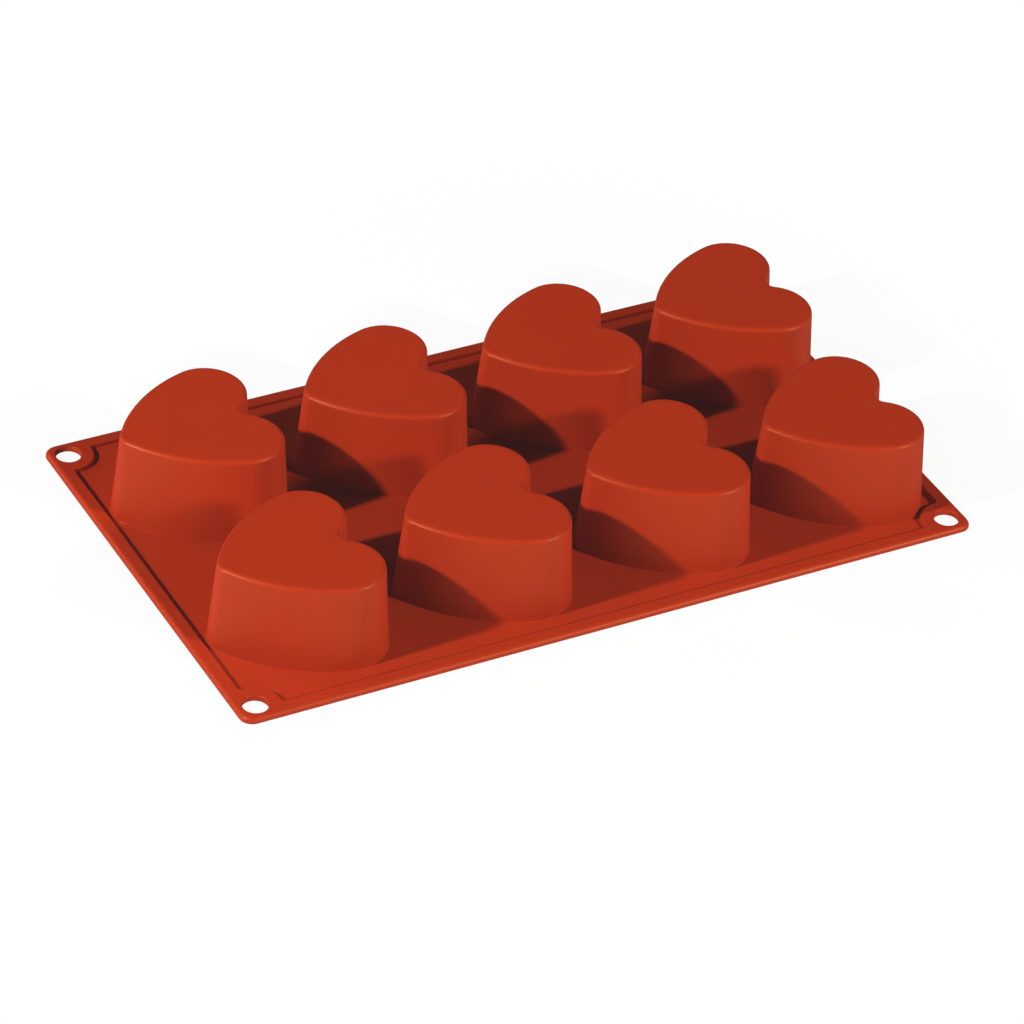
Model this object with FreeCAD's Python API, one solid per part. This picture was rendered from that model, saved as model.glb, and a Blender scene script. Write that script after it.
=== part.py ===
import FreeCAD, Part
import math
import os

# One-piece silicone baking mould: eight heart cups standing up from a thin web inside a raised
# rim, with a hanging hole in a round boss at each corner. It lies mouth down, as it stands when
# the cakes have been turned out. Origin: centre of the sheet on its flat filling face.
# +X runs from the points of the hearts to their notches, +Y across the rows, +Z up. Millimetres.

# heart cup, measured on the outside where it leaves the web
x_cup_count = 4
y_cup_count = 2
cup_length = 62.0          # point to lobes, along X
cup_width = 67.4           # across both lobes, along Y
cup_height = 35.0          # filling face to the outside of the cup bottom
lobe_r = 17.8
side_r = 65.0              # gently bowed flanks
tip_r = 8.0                # blunt point
notch_r = 1.5              # between the lobes, widening towards the cup bottom
draft_deg = 4.6
wall_t = 1.5               # skin of the flanks, square to the surface
bottom_t = 1.6
bottom_edge_r = 1.5        # outside rounding of the cup bottom
inner_edge_r = 0.6         # the same edge inside the hollow
root_r = 0.6               # flank to web
round_strip_count = 2      # narrow conical strips that make the outside rounding

# sheet round the cups
gap_x = 12.3               # clear web between neighbouring cups
gap_y = 14.6
edge_gap_x = 1.75          # web between the outer cups and the rim
edge_gap_y = 7.0
web_t = 0.85
rim_rise = 1.75            # rim and bosses above the web
rim_width = 5.8
corner_r = 5.0
rim_edge = 0.7             # bevel along the outer edges of the rim, top and bottom
rim_inner_edge = 0.4       # bevel along the inner top edge of the rim and the bosses

# hanging hole and its boss in each corner
hole_d = 9.5
hole_inset = 7.6           # centre to both outer edges
hole_edge = 0.4            # bevel at both ends of the hole
boss_wall = 5.0            # material round the hole, on the side of the cups

# worked out from the sizes above
draft = math.tan(math.radians(draft_deg))
wall_flat = wall_t / math.cos(math.radians(draft_deg))
rim_t = web_t + rim_rise
pitch_x = cup_length + gap_x
pitch_y = cup_width + gap_y
sheet_length = x_cup_count * cup_length + (x_cup_count - 1) * gap_x + 2 * (edge_gap_x + rim_width)
sheet_width = y_cup_count * cup_width + (y_cup_count - 1) * gap_y + 2 * (edge_gap_y + rim_width)
boss_r = hole_d / 2 + boss_wall
lobe_gap = cup_width - 4 * lobe_r
notch_round = notch_r + max(lobe_gap, 0)      # a wider valley where the lobes stand apart
up = FreeCAD.Vector(0, 0, 1)


def growth_at(z):
    """How far the outside of a cup stands beyond its root outline at height z."""
    return (web_t - z) * draft


def heart_centres():
    """Arc centres of the upper half of the heart: tip, flank, lobe and notch."""
    tip = FreeCAD.Vector(tip_r - cup_length / 2, 0, 0)
    lobe = FreeCAD.Vector(cup_length / 2 - lobe_r, cup_width / 2 - lobe_r, 0)
    span = lobe - tip
    to_tip = side_r - tip_r
    to_lobe = side_r - lobe_r
    along = (to_tip ** 2 - to_lobe ** 2 + span.Length ** 2) / (2 * span.Length)
    aside = math.sqrt(to_tip ** 2 - along ** 2)
    ahead = span / span.Length
    flank = tip + ahead * along + FreeCAD.Vector(ahead.y, -ahead.x, 0) * aside
    reach = math.sqrt((lobe_r + notch_round) ** 2 - lobe.y ** 2)
    notch = FreeCAD.Vector(lobe.x + reach, 0, 0)
    return tip, flank, lobe, notch


def bearing(start, end):
    """Angle in the plane of the line from start to end."""
    return math.atan2(end.y - start.y, end.x - start.x)


def arc(centre, radius, first, last, z):
    """Circular edge about a centre, between two angles, at height z."""
    points = []
    for angle in (first, (first + last) / 2, last):
        offset = FreeCAD.Vector(math.cos(angle), math.sin(angle), 0) * radius
        points.append(FreeCAD.Vector(centre.x, centre.y, z) + offset)
    return Part.Arc(*points).toShape()


def heart_wire(z, grow):
    """Heart outline at height z, set off outwards from the root outline by grow."""
    tip, flank, lobe, notch = heart_centres()
    low_flank = FreeCAD.Vector(flank.x, -flank.y, 0)
    low_lobe = FreeCAD.Vector(lobe.x, -lobe.y, 0)
    at_tip = bearing(flank, tip)
    at_side = bearing(flank, lobe)
    at_notch = bearing(lobe, notch)
    notch_side = at_notch + math.pi
    edges = [
        arc(tip, tip_r + grow, 2 * math.pi - at_tip, at_tip, z),
        arc(flank, side_r + grow, at_tip, at_side, z),
        arc(lobe, lobe_r + grow, at_side, at_notch, z),
        arc(notch, notch_round - grow, notch_side, 2 * math.pi - notch_side, z),
        arc(low_lobe, lobe_r + grow, -at_notch, -at_side, z),
        arc(low_flank, side_r + grow, -at_side, -at_tip, z),
    ]
    return Part.Wire(edges)


def heart_body(outlines):
    """Solid heart through outlines given as pairs of height and growth."""
    return Part.makeLoft([heart_wire(z, grow) for z, grow in outlines], True, True)


def rounded_top(top, inset, radius, strips):
    """Outlines that round a drafted flank into a flat top, set in from the outside of the cup."""
    slope = math.radians(draft_deg)
    centre_z = top - radius
    centre_grow = growth_at(centre_z) - inset - radius / math.cos(slope)
    outlines = []
    for step in range(strips + 1):
        angle = slope + (math.pi / 2 - slope) * step / strips
        outlines.append((centre_z + radius * math.sin(angle), centre_grow + radius * math.cos(angle)))
    return outlines


def cup_outside():
    """Outside of one cup, from the filling face up, flared where it leaves the web."""
    root_top = web_t + root_r
    root = [(0, root_r), (web_t, root_r), (root_top, growth_at(root_top))]
    return heart_body(root + rounded_top(cup_height, 0, bottom_edge_r, round_strip_count))


def cup_hollow():
    """Inside of one cup, open at the filling face."""
    mouth = [(0, growth_at(0) - wall_flat)]
    return heart_body(mouth + rounded_top(cup_height - bottom_t, wall_flat, inner_edge_r, 1))


def cup_places():
    """Centres of the cups, row by row."""
    places = []
    for row in range(y_cup_count):
        for column in range(x_cup_count):
            x = (column - (x_cup_count - 1) / 2) * pitch_x
            y = (row - (y_cup_count - 1) / 2) * pitch_y
            places.append(FreeCAD.Vector(x, y, 0))
    return places


def hole_places():
    """Centres of the hanging holes."""
    x = sheet_length / 2 - hole_inset
    y = sheet_width / 2 - hole_inset
    return [FreeCAD.Vector(i * x, j * y, 0) for i in (-1, 1) for j in (-1, 1)]


def edges_at(shape, z):
    """Edges that lie flat at one height."""
    return [e for e in shape.Edges if max(abs(e.BoundBox.ZMin - z), abs(e.BoundBox.ZMax - z)) < 0.001]


def slab(length, width, radius, low, high):
    """Plate about the Z axis with rounded corners."""
    corner = FreeCAD.Vector(-length / 2, -width / 2, low)
    plate = Part.makeBox(length, width, high - low, corner)
    upright = [e for e in plate.Edges if e.BoundBox.ZLength > (high - low) / 2]
    return plate.makeFillet(radius, upright)


def rim_frame():
    """Sheet with the web sunk inside the rim, leaving a boss round each hole."""
    sheet = slab(sheet_length, sheet_width, corner_r, 0, rim_t)
    sheet = sheet.makeChamfer(rim_edge, edges_at(sheet, rim_t) + edges_at(sheet, 0))
    inside_x = sheet_length - 2 * rim_width
    inside_y = sheet_width - 2 * rim_width
    corner = FreeCAD.Vector(-inside_x / 2, -inside_y / 2, web_t)
    pocket = Part.makeBox(inside_x, inside_y, rim_rise, corner)
    for place in hole_places():
        pocket = pocket.cut(Part.makeCylinder(boss_r, rim_t, place, up))
    sheet = sheet.cut(pocket)
    inner_top = [e for e in edges_at(sheet, rim_t) if inside_rim(e)]
    return sheet.makeChamfer(rim_inner_edge, inner_top)


def inside_rim(edge):
    """True for an edge of the pocket, not of the sheet's own outline."""
    box = edge.BoundBox
    reach_x = sheet_length / 2 - rim_width + 0.001
    reach_y = sheet_width / 2 - rim_width + 0.001
    return max(-box.XMin, box.XMax) <= reach_x and max(-box.YMin, box.YMax) <= reach_y


def pierce_holes(body):
    """Hanging holes with softened edges."""
    drills = [Part.makeCylinder(hole_d / 2, rim_t, place, up) for place in hole_places()]
    body = body.cut(drills)
    ends = [e for e in body.Edges if is_hole_edge(e)]
    return body.makeChamfer(hole_edge, ends)


def is_hole_edge(edge):
    """True for the full circles where a hanging hole meets a flat face."""
    curve = edge.Curve
    return curve.TypeId == "Part::GeomCircle" and edge.Closed and abs(curve.Radius - hole_d / 2) < 0.001


def silicone_mould():
    """The whole moulding."""
    outside = cup_outside()
    hollow = cup_hollow()
    body = rim_frame()
    body = body.fuse([outside.translated(place) for place in cup_places()]).removeSplitter()
    body = body.cut([hollow.translated(place) for place in cup_places()])
    return pierce_holes(body)


os.makedirs("parts", exist_ok=True)
mould = silicone_mould()
mould.exportStep("parts/silicone_mould.step")
print("solids", len(mould.Solids), "valid", mould.isValid(), "volume cm3", round(mould.Volume / 1000, 1))
box = mould.BoundBox
print("size", round(box.XLength, 2), round(box.YLength, 2), round(box.ZLength, 2))
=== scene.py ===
from math import atan2, cos, hypot, pi, radians, sin, sqrt, tan
import bmesh
import bpy
from mathutils import Matrix, Vector, noise


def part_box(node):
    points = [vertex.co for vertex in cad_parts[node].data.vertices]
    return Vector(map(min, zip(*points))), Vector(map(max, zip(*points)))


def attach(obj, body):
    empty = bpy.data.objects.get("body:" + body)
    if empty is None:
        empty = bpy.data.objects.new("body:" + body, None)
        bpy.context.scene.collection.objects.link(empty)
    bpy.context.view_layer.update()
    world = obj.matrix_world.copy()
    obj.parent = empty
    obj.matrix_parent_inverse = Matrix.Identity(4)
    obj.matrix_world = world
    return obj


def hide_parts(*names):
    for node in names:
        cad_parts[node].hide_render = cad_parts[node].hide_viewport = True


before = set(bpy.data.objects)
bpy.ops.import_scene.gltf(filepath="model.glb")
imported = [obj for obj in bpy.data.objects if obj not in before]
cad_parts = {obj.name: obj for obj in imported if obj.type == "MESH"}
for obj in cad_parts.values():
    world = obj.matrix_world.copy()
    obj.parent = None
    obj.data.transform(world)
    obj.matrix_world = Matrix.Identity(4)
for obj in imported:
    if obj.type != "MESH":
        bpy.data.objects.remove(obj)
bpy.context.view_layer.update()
print("frame loaded")

mm = 0.001
tolerance = 0.002 * mm       # points and heights closer than this are taken as one
mouldNode = "silicone_mould"
lowCorner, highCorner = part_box(mouldNode)

# heart cup: its outside outline is taken where it leaves the web
cup = {
    "columns": 4,
    "rows": 2,
    "length": 62.0 * mm,
    "width": 67.4 * mm,
    "gapAlong": 12.3 * mm,
    "gapAcross": 14.6 * mm,
    "lobeRadius": 17.8 * mm,
    "flankRadius": 65.0 * mm,
    "tipRadius": 8.0 * mm,
    "notchRadius": 1.5 * mm,
    "draft": radians(4.6),
    "skin": 1.5 * mm,
    "bottom": 1.6 * mm,
    "edgeRadius": 1.7 * mm,      # outside, round the cup bottom
    "insideRadius": 0.9 * mm,    # the same edge in the hollow
    "rootRadius": 0.12 * mm,     # flank to web
    "lipRadius": 0.5 * mm,       # mouth of the hollow
    "capRings": (0.5 * mm, 2.0 * mm),    # rings on the flat bottom, in from its rounded edge
    "sag": 0.22 * mm,            # the bottom hangs a little in its middle
    "steps": {"tip": 12, "flank": 14, "lobe": 26, "notch": 12, "wall": 7, "edge": 5},
    "bottomCuts": 2,             # how finely the flat bottom is divided, so that it can sag
}

# web, rim and the corner bosses with their hanging holes
sheet = {
    "web": 0.85 * mm,
    "rim": 2.6 * mm,
    "rimWidth": 5.8 * mm,
    "cornerRadius": 5.0 * mm,
    "edgeRadius": 1.9 * mm,      # outer edge of the rim, on top
    "underEdgeRadius": 0.6 * mm,
    "innerEdgeRadius": 0.6 * mm,
    "footRadius": 0.3 * mm,      # rim to web
    "holeRadius": 4.75 * mm,
    "holeInset": 7.6 * mm,
    "holeEdgeRadius": 0.5 * mm,
    "bossRadius": 9.75 * mm,
    "bossBlend": 1.3 * mm,       # boss to rim, in plan
    "run": 9.0 * mm,             # no straight piece of an edge is longer
    "steps": {"corner": 8, "blend": 6, "boss": 16, "hole": 40, "edge": 9, "smallEdge": 4, "foot": 3},
    "webCuts": 1,                # the same for the web, so that it can wave
}
# the four quarters of the sheet, going round
quarters = ((1, 1), (-1, 1), (-1, -1), (1, -1))


def growAt(z):  # how far a flank stands out beyond its outline at the web
    return (sheet["web"] - z) * tan(cup["draft"])


def bearing(start, end):
    return atan2(end.y - start.y, end.x - start.x)


def heartArcs():  # centre, radius, first and last angle, side that grows, steps
    tip = Vector((cup["tipRadius"] - cup["length"] / 2, 0))
    lobe = Vector((cup["length"] / 2 - cup["lobeRadius"], cup["width"] / 2 - cup["lobeRadius"]))
    toTip = cup["flankRadius"] - cup["tipRadius"]
    toLobe = cup["flankRadius"] - cup["lobeRadius"]
    span = lobe - tip
    along = (toTip ** 2 - toLobe ** 2 + span.length ** 2) / (2 * span.length)
    aside = sqrt(toTip ** 2 - along ** 2)
    ahead = span.normalized()
    flank = tip + ahead * along + Vector((ahead.y, -ahead.x)) * aside
    notch = Vector((lobe.x + sqrt((cup["lobeRadius"] + cup["notchRadius"]) ** 2 - lobe.y ** 2), 0))
    atTip = bearing(flank, tip)
    atSide = bearing(flank, lobe)
    atNotch = bearing(lobe, notch)
    lowFlank = Vector((flank.x, -flank.y))
    lowLobe = Vector((lobe.x, -lobe.y))
    steps = cup["steps"]
    return [
        (tip, cup["tipRadius"], 2 * pi - atTip, atTip, 1, steps["tip"]),
        (flank, cup["flankRadius"], atTip, atSide, 1, steps["flank"]),
        (lobe, cup["lobeRadius"], atSide, atNotch, 1, steps["lobe"]),
        (notch, cup["notchRadius"], atNotch + pi, pi - atNotch, -1, steps["notch"]),
        (lowLobe, cup["lobeRadius"], -atNotch, -atSide, 1, steps["lobe"]),
        (lowFlank, cup["flankRadius"], -atSide, -atTip, 1, steps["flank"]),
    ]


def plateArcs(length, width, radius):  # rounded rectangle about the middle of the sheet
    arcs = []
    for quarter, (i, j) in enumerate(quarters):
        centre = Vector((i * (length / 2 - radius), j * (width / 2 - radius)))
        start = quarter * pi / 2
        arcs.append((centre, radius, start, start + pi / 2, 1, sheet["steps"]["corner"]))
    return arcs


def pocketArcs(length, width):  # inside of the rim, with a boss standing into each corner
    blend = sheet["bossBlend"]
    boss = sheet["bossRadius"]
    steps = sheet["steps"]
    arcs = []
    for quarter, (i, j) in enumerate(quarters):
        hole = holeAt(i, j)
        alongX = j * (width / 2 - blend) - hole.y
        alongY = i * (length / 2 - blend) - hole.x
        onSide = hole + Vector((alongY, -j * sqrt((boss + blend) ** 2 - alongY ** 2)))
        onEnd = hole + Vector((-i * sqrt((boss + blend) ** 2 - alongX ** 2), alongX))
        first, last = (onSide, onEnd) if i * j > 0 else (onEnd, onSide)
        start = quarter * pi / 2
        enter = turnAbout(first, hole, start)
        leave = turnAbout(last, hole, start)
        arcs.append((first, blend, start, enter, 1, steps["blend"]))
        arcs.append((hole, boss, enter + pi, leave + pi, -1, steps["boss"]))
        arcs.append((last, blend, leave, start + pi / 2, 1, steps["blend"]))
    return arcs


def turnAbout(centre, hole, start):  # bearing of the hole, as an angle near the corner's own
    angle = bearing(centre, hole)
    return angle + 2 * pi * round((start + pi / 4 - angle) / (2 * pi))


def holeAt(i, j):
    x = highCorner.x - sheet["holeInset"]
    y = highCorner.y - sheet["holeInset"]
    return Vector((i * x, j * y))


def outline(bm, arcs, grow, z):  # closed ring of edges; each point keeps the way in which it grows
    away = bm.verts.layers.float_vector["away"]
    first = last = None
    begin = len(bm.verts)
    for centre, radius, start, end, side, steps in arcs:
        middle = Vector((centre.x, centre.y, z))
        spot = middle + (radius + side * grow) * Vector((cos(start), sin(start), 0))
        if last is None or (last.co - spot).length > tolerance:
            corner = bm.verts.new(spot)
            corner[away] = side * (spot - middle).normalized()
            if last is not None:
                bm.edges.new((last, corner))
            last = corner
        first = first or last
        seen = len(bm.verts)
        bmesh.ops.spin(bm, geom=[last], cent=middle, axis=(0, 0, 1), angle=end - start, steps=steps,
                       space=Matrix.Identity(4), use_duplicate=False)
        bm.verts.ensure_lookup_table()
        for vert in bm.verts[seen:]:
            vert[away] = side * (vert.co - middle).normalized()
        last = bm.verts[len(bm.verts) - 1]
    if (last.co - first.co).length > tolerance:
        bm.edges.new((last, first))
    else:
        bmesh.ops.weld_verts(bm, targetmap={last: first})
    bm.verts.ensure_lookup_table()
    return list(dict.fromkeys(edge for vert in bm.verts[begin:] for edge in vert.link_edges))


def splitRuns(bm, ring):  # straight stretches get points of their own, so that they can wave
    long = [edge for edge in ring if edge.calc_length() > sheet["run"]]
    short = [edge for edge in ring if edge.calc_length() <= sheet["run"]]
    pieces = []
    for edge in long:
        cuts = int(edge.calc_length() / sheet["run"])
        parts = bmesh.ops.subdivide_edges(bm, edges=[edge], cuts=cuts)["geom_split"]
        pieces += [part for part in parts if isinstance(part, bmesh.types.BMEdge)]
    return short + pieces


def arcPoints(grow, z, radius, start, end, steps):  # rounding in the section, as (grow, z) points
    points = []
    for step in range(steps + 1):
        angle = start + (end - start) * step / steps
        points.append((grow + radius * cos(angle), z + radius * sin(angle)))
    return points


def sweepRing(bm, ring, section):  # carries a ring through the points of a section
    away = bm.verts.layers.float_vector["away"]
    for (growBefore, zBefore), (grow, z) in zip(section, section[1:]):
        made = bmesh.ops.extrude_edge_only(bm, edges=ring)["geom"]
        verts = {item for item in made if isinstance(item, bmesh.types.BMVert)}
        for vert in verts:
            vert.co += vert[away].normalized() * (grow - growBefore)
            vert.co.z += z - zBefore
        ring = [item for item in made
                if isinstance(item, bmesh.types.BMEdge) and verts.issuperset(item.verts)]
    return ring


def fillFlat(bm, edges, cuts=0):  # flat face across rings, with inner points where cuts are asked for
    made = bmesh.ops.triangle_fill(bm, use_beauty=True, use_dissolve=False, edges=edges)["geom"]
    if cuts:
        outer = set(edges)
        inner = [item for item in made if isinstance(item, bmesh.types.BMEdge) and item not in outer]
        bmesh.ops.subdivide_edges(bm, edges=inner, cuts=cuts, use_grid_fill=True)


def wallPoints(inset, low, high):  # drafted flank between two heights
    steps = cup["steps"]["wall"]
    heights = [low + (high - low) * step / steps for step in range(1, steps)]
    return [(growAt(z) - inset, z) for z in heights]


def outsideSection():
    draft, root, edge = cup["draft"], cup["rootRadius"], cup["edgeRadius"]
    steps = cup["steps"]["edge"]
    foot = sheet["web"] + root
    shoulder = highCorner.z - edge
    points = arcPoints(growAt(foot) + root / cos(draft), foot, root, 1.5 * pi, pi + draft, steps)
    points += wallPoints(0, points[-1][1], shoulder)
    points += arcPoints(growAt(shoulder) - edge / cos(draft), shoulder, edge, draft, pi / 2, steps)
    return points + capPoints(points[-1])


def insideSection():
    draft, lip, edge = cup["draft"], cup["lipRadius"], cup["insideRadius"]
    skin = cup["skin"] / cos(draft)
    steps = cup["steps"]["edge"]
    shoulder = highCorner.z - cup["bottom"] - edge
    points = arcPoints(growAt(lip) - skin + lip / cos(draft), lip, lip, 1.5 * pi, pi + draft, steps)
    points += wallPoints(skin, points[-1][1], shoulder)
    turn = growAt(shoulder) - skin - edge / cos(draft)
    points += arcPoints(turn, shoulder, edge, draft, pi / 2, steps)
    return points + capPoints(points[-1])


def capPoints(edgePoint):  # onto the flat bottom, in from its rounded edge
    grow, z = edgePoint
    return [(grow - inset, z) for inset in cup["capRings"]]


def sagBottom(bm):  # both skins of the bottom, most in the middle and hardly at its edge
    reach = cup["length"] / 2
    hollowTop = highCorner.z - cup["bottom"] - tolerance
    for vert in [vert for vert in bm.verts if vert.co.z > hollowTop]:
        near = max(0, 1 - (hypot(vert.co.x, vert.co.y) / reach) ** 2)
        vert.co.z -= cup["sag"] * near ** 2


def makeCup():  # one cup, its two skins still open at the web and at the filling face
    bm = bmesh.new()
    bm.verts.layers.float_vector.new("away")
    for section in (outsideSection(), insideSection()):
        ring = outline(bm, heartArcs(), *section[0])
        fillFlat(bm, sweepRing(bm, ring, section), cup["bottomCuts"])
    sagBottom(bm)
    mesh = bpy.data.meshes.new("heartCup")
    bm.to_mesh(mesh)
    bm.free()
    return mesh


def setOutCups(bm):  # all the cups, row by row
    mesh = makeCup()
    pitchX = cup["length"] + cup["gapAlong"]
    pitchY = cup["width"] + cup["gapAcross"]
    here = Vector((0, 0, 0))
    for row in range(cup["rows"]):
        y = (row - (cup["rows"] - 1) / 2) * pitchY
        for column in range(cup["columns"]):
            x = (column - (cup["columns"] - 1) / 2) * pitchX
            place = Vector((x, y, 0))
            mesh.transform(Matrix.Translation(place - here))
            bm.from_mesh(mesh)
            here = place
    bpy.data.meshes.remove(mesh)


def makeSheet(bm):  # rim, bosses and holes round the cups, then the three flat faces
    length = highCorner.x - lowCorner.x
    width = highCorner.y - lowCorner.y
    web, top, edge, foot = sheet["web"], sheet["rim"], sheet["edgeRadius"], sheet["footRadius"]
    inner, lip = sheet["innerEdgeRadius"], sheet["holeEdgeRadius"]
    steps = sheet["steps"]
    footRings = openEdges(bm, web)
    mouthRings = openEdges(bm, 0)

    pocket = arcPoints(-foot, web + foot, foot, 1.5 * pi, 2 * pi, steps["foot"])
    pocket += arcPoints(inner, top - inner, inner, pi, pi / 2, steps["smallEdge"])
    rims = 2 * sheet["rimWidth"]
    pocketRing = splitRuns(bm, outline(bm, pocketArcs(length - rims, width - rims), *pocket[0]))
    rimInside = sweepRing(bm, pocketRing, pocket)

    under = sheet["underEdgeRadius"]
    side = arcPoints(-edge, top - edge, edge, pi / 2, 0, steps["edge"])
    side += arcPoints(-under, under, under, 0, -pi / 2, steps["smallEdge"])
    plate = plateArcs(length, width, sheet["cornerRadius"])
    rimOutside = splitRuns(bm, outline(bm, plate, *side[0]))
    underOutside = sweepRing(bm, rimOutside, side)

    bore = arcPoints(lip, top - lip, lip, pi / 2, pi, steps["smallEdge"])
    bore += arcPoints(lip, lip, lip, pi, 1.5 * pi, steps["smallEdge"])
    holeTops, holeEnds = [], []
    for i, j in quarters:
        circle = (holeAt(i, j), sheet["holeRadius"], 0, 2 * pi, 1, steps["hole"])
        ring = outline(bm, [circle], *bore[0])
        holeTops += ring
        holeEnds += sweepRing(bm, ring, bore)

    fillFlat(bm, pocketRing + footRings, sheet["webCuts"])
    fillFlat(bm, rimInside + rimOutside + holeTops)
    fillFlat(bm, underOutside + holeEnds + mouthRings)


def openEdges(bm, z):  # edges with one face only, at one height
    return [edge for edge in bm.edges
            if edge.is_boundary and max(abs(vert.co.z - z) for vert in edge.verts) < tolerance]


# how a soft sheet of this size lies: long, low waves and cups that aren't quite true
softness = {
    "seed": 1796126904,                # without one the noise would start from the clock
    "wave": 0.20 * mm,
    "waveLength": 95 * mm,
    "waveStart": (5.2, 1.9, 4.4),      # where in the noise it begins
    "wander": 0.22 * mm,
    "wanderLength": 60 * mm,
    "wanderStart": (3.1, 7.7, 1.3),
    "wanderAtRoot": 0.3,               # share of it that the sheet itself has
}


def soften(bm):  # never past the sides of the solid, and never up
    noise.seed_set(softness["seed"])
    wanderStart = Vector(softness["wanderStart"])
    waveStart = Vector(softness["waveStart"])
    for vert in bm.verts:
        place = vert.co.copy()
        flat = Vector((place.x, place.y, 0))
        across = noise.noise_vector(place / softness["wanderLength"] + wanderStart)
        lift = noise.noise(flat / softness["waveLength"] + waveStart)
        rise = min(place.z / sheet["rim"], 1)
        lean = softness["wander"] * (softness["wanderAtRoot"] + place.z / highCorner.z)
        vert.co.x = max(lowCorner.x, min(highCorner.x, place.x + across.x * lean))
        vert.co.y = max(lowCorner.y, min(highCorner.y, place.y + across.y * lean))
        vert.co.z += min(lift, 0) * softness["wave"] * rise


class Wire:  # one socket of a shader, so that its maths reads as plain sums
    def __init__(self, shader, socket):
        self.shader = shader
        self.socket = socket

    def sum(self, operation, first, second):
        return self.shader.node("ShaderNodeMath", {"operation": operation}, {0: first, 1: second})

    def __add__(self, other):
        return self.sum("ADD", self, other)

    def __radd__(self, other):
        return self.sum("ADD", other, self)

    def __sub__(self, other):
        return self.sum("SUBTRACT", self, other)

    def __rsub__(self, other):
        return self.sum("SUBTRACT", other, self)

    def __mul__(self, other):
        return self.sum("MULTIPLY", self, other)

    def __rmul__(self, other):
        return self.sum("MULTIPLY", other, self)


class Shader:  # node tree of one material or world
    def __init__(self, owner):
        owner.use_nodes = True
        self.tree = owner.node_tree
        self.tree.nodes.clear()

    def node(self, kind, settings, inputs, output=0):
        made = self.tree.nodes.new(kind)
        for name, value in settings.items():
            setattr(made, name, value)
        for name, value in inputs.items():
            if isinstance(value, Wire):
                self.tree.links.new(value.socket, made.inputs[name])
            else:
                made.inputs[name].default_value = value
        return Wire(self, made.outputs[output]) if len(made.outputs) else None

    def mixColour(self, amount, first, second):
        sockets = {"Factor": amount, 6: first, 7: second}      # 6 and 7 are the two colours
        return self.node("ShaderNodeMix", {"data_type": "RGBA"}, sockets, 2)

    def noiseAt(self, place, pattern):
        return self.node("ShaderNodeTexNoise", {}, {"Vector": place, **pattern})


# pigmented silicone, satin outside and glossier in the polished hollows
silicone = {
    "colour": (0.412, 0.0265, 0.0036, 1),
    "deepColour": (0.378, 0.0225, 0.0030, 1),
    "roughness": 0.42,
    "insideRoughness": 0.30,
    "speckRoughness": 0.06,    # how much the specks vary it
    "ior": 1.36,
    "sheen": (1.0, 0.82, 0.36, 1),         # the pigment warms what the surface reflects
    "paintedGlow": (0.002, 0.0092, 0.0086, 1),    # painted light: a faint glow, though the silicone is no lamp, that lifts the deepest shade
    "grainDepth": 0.006 * mm,
    "grainLostInside": 0.7,    # share of the grain that the polished hollows lack
    "waveDepth": 0.05 * mm,
}
# its noises: pigment clouds about 30 mm across, surface waves of 14 mm, specks of about 2 mm
# and a mould texture under half a millimetre
patterns = {
    "clouds": {"Scale": 34, "Detail": 4.0, "Roughness": 0.55},
    "waves": {"Scale": 70, "Detail": 2.0},
    "specks": {"Scale": 420, "Detail": 3.0},
    "grain": {"Scale": 2600, "Detail": 3.0, "Roughness": 0.6},
}


def siliconeMaterial():
    material = bpy.data.materials.new("silicone")
    shader = Shader(material)
    place = shader.node("ShaderNodeTexCoord", {}, {}, "Object")
    inside = shader.node("ShaderNodeAttribute", {"attribute_name": "inside"}, {}, "Fac")
    clouds = shader.noiseAt(place, patterns["clouds"])
    colour = shader.mixColour(clouds, silicone["deepColour"], silicone["colour"])
    gloss = silicone["insideRoughness"] - silicone["roughness"]
    specks = shader.noiseAt(place, patterns["specks"])
    roughness = silicone["roughness"] + inside * gloss + (specks - 0.5) * silicone["speckRoughness"]
    waves = shader.noiseAt(place, patterns["waves"])
    grain = shader.noiseAt(place, patterns["grain"])
    grainShare = 1 - inside * silicone["grainLostInside"]
    height = waves * silicone["waveDepth"] + grain * grainShare * silicone["grainDepth"]
    normal = shader.node("ShaderNodeBump", {}, {"Strength": 1.0, "Distance": 1.0, "Height": height})
    surface = shader.node("ShaderNodeBsdfPrincipled", {}, {
        "Base Color": colour,
        "Roughness": roughness,
        "IOR": silicone["ior"],
        "Specular Tint": silicone["sheen"],
        # painted light: a faint glow in the silicone lifts its deepest shade
        "Emission Color": silicone["paintedGlow"],
        "Emission Strength": 1.0,
        "Normal": normal,
    })
    shader.node("ShaderNodeOutputMaterial", {}, {"Surface": surface})
    return material


def markInside(bm):  # one in the hollows and on the filling face, nought elsewhere
    inside = bm.verts.layers.float.new("inside")
    lean = 0.02              # a normal that leans less than this, up or down, is level
    for vert in bm.verts:
        down = vert.normal.z < -lean
        lowSide = vert.normal.z < lean and vert.co.z < sheet["web"]
        vert[inside] = 1.0 if down or lowSide else 0.0


def makeMould():
    bm = bmesh.new()
    bm.verts.layers.float_vector.new("away")
    setOutCups(bm)
    makeSheet(bm)
    bmesh.ops.remove_doubles(bm, verts=bm.verts, dist=tolerance)
    bmesh.ops.recalc_face_normals(bm, faces=bm.faces)
    bm.normal_update()
    markInside(bm)
    soften(bm)
    bm.verts.layers.float_vector.remove(bm.verts.layers.float_vector["away"])
    for face in bm.faces:
        face.smooth = True
    mesh = bpy.data.meshes.new("heartMould")
    bm.to_mesh(mesh)
    loose = [edge for edge in bm.edges if not edge.is_manifold]
    print("mould:", len(bm.faces), "faces,", len(loose), "open edges")
    bm.free()
    mesh.materials.append(siliconeMaterial())
    mould = bpy.data.objects.new("heartMould", mesh)
    bpy.context.collection.objects.link(mould)
    shading = mould.modifiers.new("evenShading", "WEIGHTED_NORMAL")
    shading.mode = "FACE_AREA"
    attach(mould, "root")
    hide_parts(mouldNode)


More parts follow.
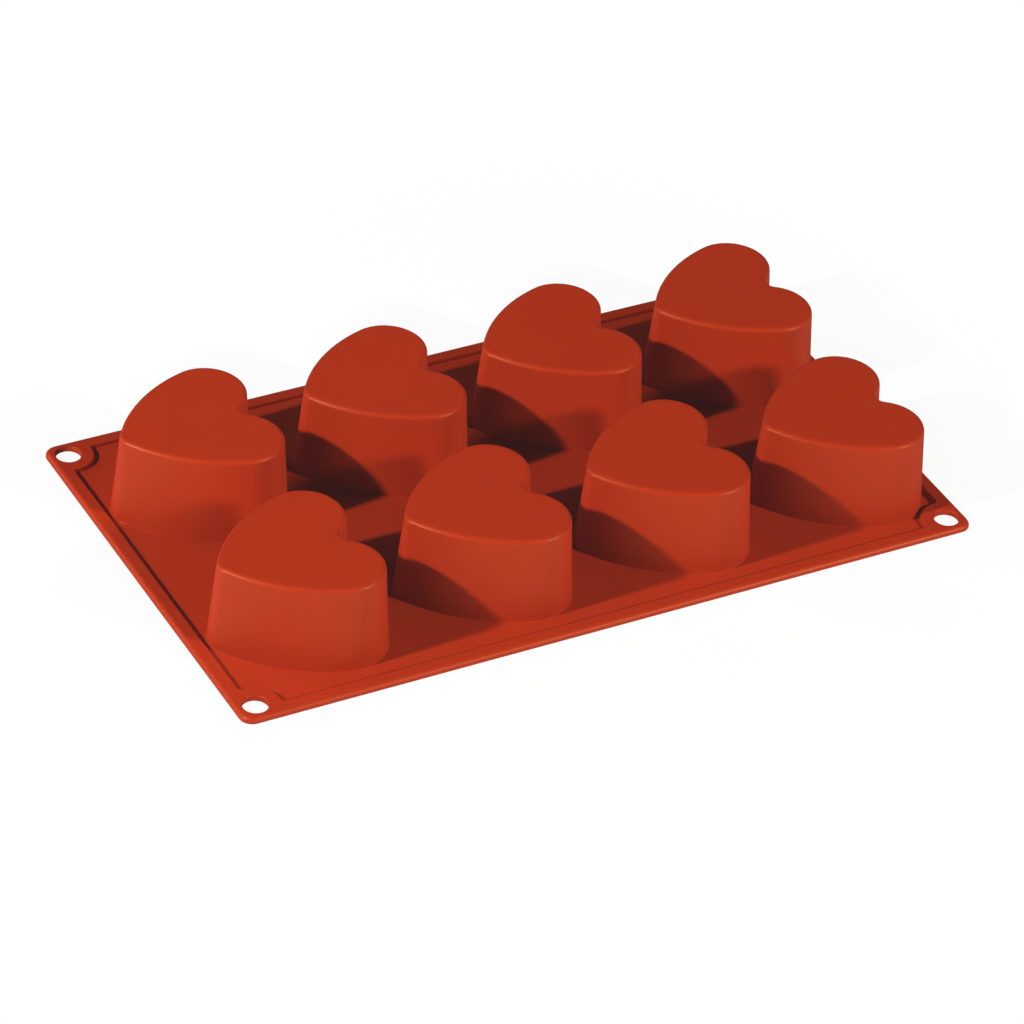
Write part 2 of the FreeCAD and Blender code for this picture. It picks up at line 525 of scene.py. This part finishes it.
makeMould()
print("mould made")

# pale table under the mould, white away from it
ground = {
    "size": 6.0,
    "drop": 0.02 * mm,         # clear of the mould's flat face
    "colour": (0.93, 0.93, 0.93, 1),
    "mirrored": (0.14, 0.14, 0.14, 1),     # painted shade: a much darker copy of the table, seen only in the satin flanks' reflections
    "whitened": 0.92,          # share of plain white that the camera sees close to the mould
    "nearEdge": 0.15,          # how far from the mould's middle that share starts to grow
    "farEdge": 0.30,           # and where the table is all plain white
}


def makeGround():
    bm = bmesh.new()
    bmesh.ops.create_grid(bm, x_segments=1, y_segments=1, size=ground["size"] / 2)
    mesh = bpy.data.meshes.new("ground")
    bm.to_mesh(mesh)
    bm.free()
    floor = bpy.data.objects.new("ground", mesh)
    floor.location.z = -ground["drop"]
    bpy.context.collection.objects.link(floor)
    material = bpy.data.materials.new("paleTable")
    shader = Shader(material)
    place = shader.node("ShaderNodeTexCoord", {}, {}, "Object")
    distance = shader.node("ShaderNodeVectorMath", {"operation": "LENGTH"}, {0: place}, "Value")
    far = shader.node("ShaderNodeMapRange", {"interpolation_type": "SMOOTHSTEP"}, {
        "Value": distance, "From Min": ground["nearEdge"], "From Max": ground["farEdge"],
        "To Min": ground["whitened"]})
    seen = shader.node("ShaderNodeLightPath", {}, {}, "Is Camera Ray")
    glint = shader.node("ShaderNodeLightPath", {}, {}, "Is Glossy Ray")
    pale = shader.node("ShaderNodeBsdfDiffuse", {}, {"Color": ground["colour"]})
    # painted shade: glossy rays meet a darker table than the lit one
    tableInReflections = shader.node("ShaderNodeBsdfDiffuse", {}, {"Color": ground["mirrored"]})
    matt = shader.node("ShaderNodeMixShader", {}, {0: glint, 1: pale, 2: tableInReflections})
    white = shader.node("ShaderNodeEmission", {}, {"Color": (1, 1, 1, 1), "Strength": 1.0})
    mixed = shader.node("ShaderNodeMixShader", {}, {0: far * seen, 1: matt, 2: white})
    shader.node("ShaderNodeOutputMaterial", {}, {"Surface": mixed})
    mesh.materials.append(material)


makeGround()
print("ground made")

# lamps: where they stand from the mould's middle, in degrees from +Y towards +X and up, how wide
# and bright they are, and the share of each that the satin surface mirrors
lamps = {
    "key": {
        "azimuth": 267, "elevation": 32, "distance": 1.5,
        "size": 0.08, "power": 21.8, "mirrored": 0.85,
    },
    "fill": {
        "azimuth": 143, "elevation": 29, "distance": 2.6,
        "size": 0.30, "power": 60.0, "mirrored": 0.6,
    },
    "back": {
        "azimuth": 318, "elevation": 20, "distance": 2.1,
        "size": 0.60, "power": 13.0, "mirrored": 0.3,
    },
}


def makeLamp(name, lamp, share, mirrored):
    light = bpy.data.lights.new(name, "AREA")
    light.shape = "DISK"
    light.size = lamp["size"]
    light.energy = lamp["power"] * share
    turn, rise = radians(lamp["azimuth"]), radians(lamp["elevation"])
    aim = Vector((sin(turn) * cos(rise), cos(turn) * cos(rise), sin(rise)))
    holder = bpy.data.objects.new(name, light)
    holder.location = aim * lamp["distance"]
    holder.visible_glossy = mirrored
    holder.rotation_mode = "QUATERNION"
    holder.rotation_quaternion = aim.to_track_quat("Z", "Y")
    bpy.context.collection.objects.link(holder)


for lampName, lamp in lamps.items():
    makeLamp(lampName, lamp, lamp["mirrored"], mirrored=True)
    makeLamp(lampName + "Matt", lamp, 1 - lamp["mirrored"], mirrored=False)

ambient = 0.01             # brightness of the surroundings as the mould meets them


def makeSurroundings():  # white to the camera, dim to the mould
    world = bpy.data.worlds.new("studio")
    bpy.context.scene.world = world
    shader = Shader(world)
    seen = shader.node("ShaderNodeLightPath", {}, {}, "Is Camera Ray")
    through = shader.node("ShaderNodeLightPath", {}, {}, "Is Transmission Ray")
    clear = shader.node("ShaderNodeMath", {"operation": "MAXIMUM"}, {0: seen, 1: through})
    colour = shader.mixColour(clear, (ambient, ambient, ambient, 1), (1, 1, 1, 1))
    sky = shader.node("ShaderNodeBackground", {}, {"Color": colour, "Strength": 1.0})
    shader.node("ShaderNodeOutputWorld", {}, {"Surface": sky})


makeSurroundings()
print("lamps and surroundings made")

# the photograph's view, as fitted to the sheet's edges, its holes and the cups
view = {
    "place": (-0.80370, -1.34294, 1.14925),
    "azimuth": 30.922,         # the way it looks, in degrees from +Y towards +X
    "elevation": 36.278,       # how far it looks down
    "roll": 5.100,
    "focalPixels": 5231.8,
    "middlePixel": (509.63, 490.38),
    "imagePixels": 1024,
    "sensor": 36,              # width in millimetres
    "nearest": 0.05,           # nothing closer than this is drawn
}


def makeCamera():
    lens = bpy.data.cameras.new("camera")
    pixels = view["imagePixels"]
    middleX, middleY = view["middlePixel"]
    lens.sensor_width = view["sensor"]
    lens.lens = view["focalPixels"] * view["sensor"] / pixels
    lens.shift_x = (pixels / 2 - middleX) / pixels
    lens.shift_y = (middleY - pixels / 2) / pixels
    lens.clip_start = view["nearest"]
    turn = Matrix.Rotation(radians(-view["azimuth"]), 4, "Z")
    tilt = Matrix.Rotation(radians(90 - view["elevation"]), 4, "X")
    roll = Matrix.Rotation(radians(view["roll"]), 4, "Z")
    camera = bpy.data.objects.new("camera", lens)
    camera.matrix_world = Matrix.Translation(view["place"]) @ turn @ tilt @ roll
    bpy.context.collection.objects.link(camera)
    bpy.context.scene.camera = camera


makeCamera()
bpy.context.scene.view_settings.view_transform = "Standard"
print("camera set")
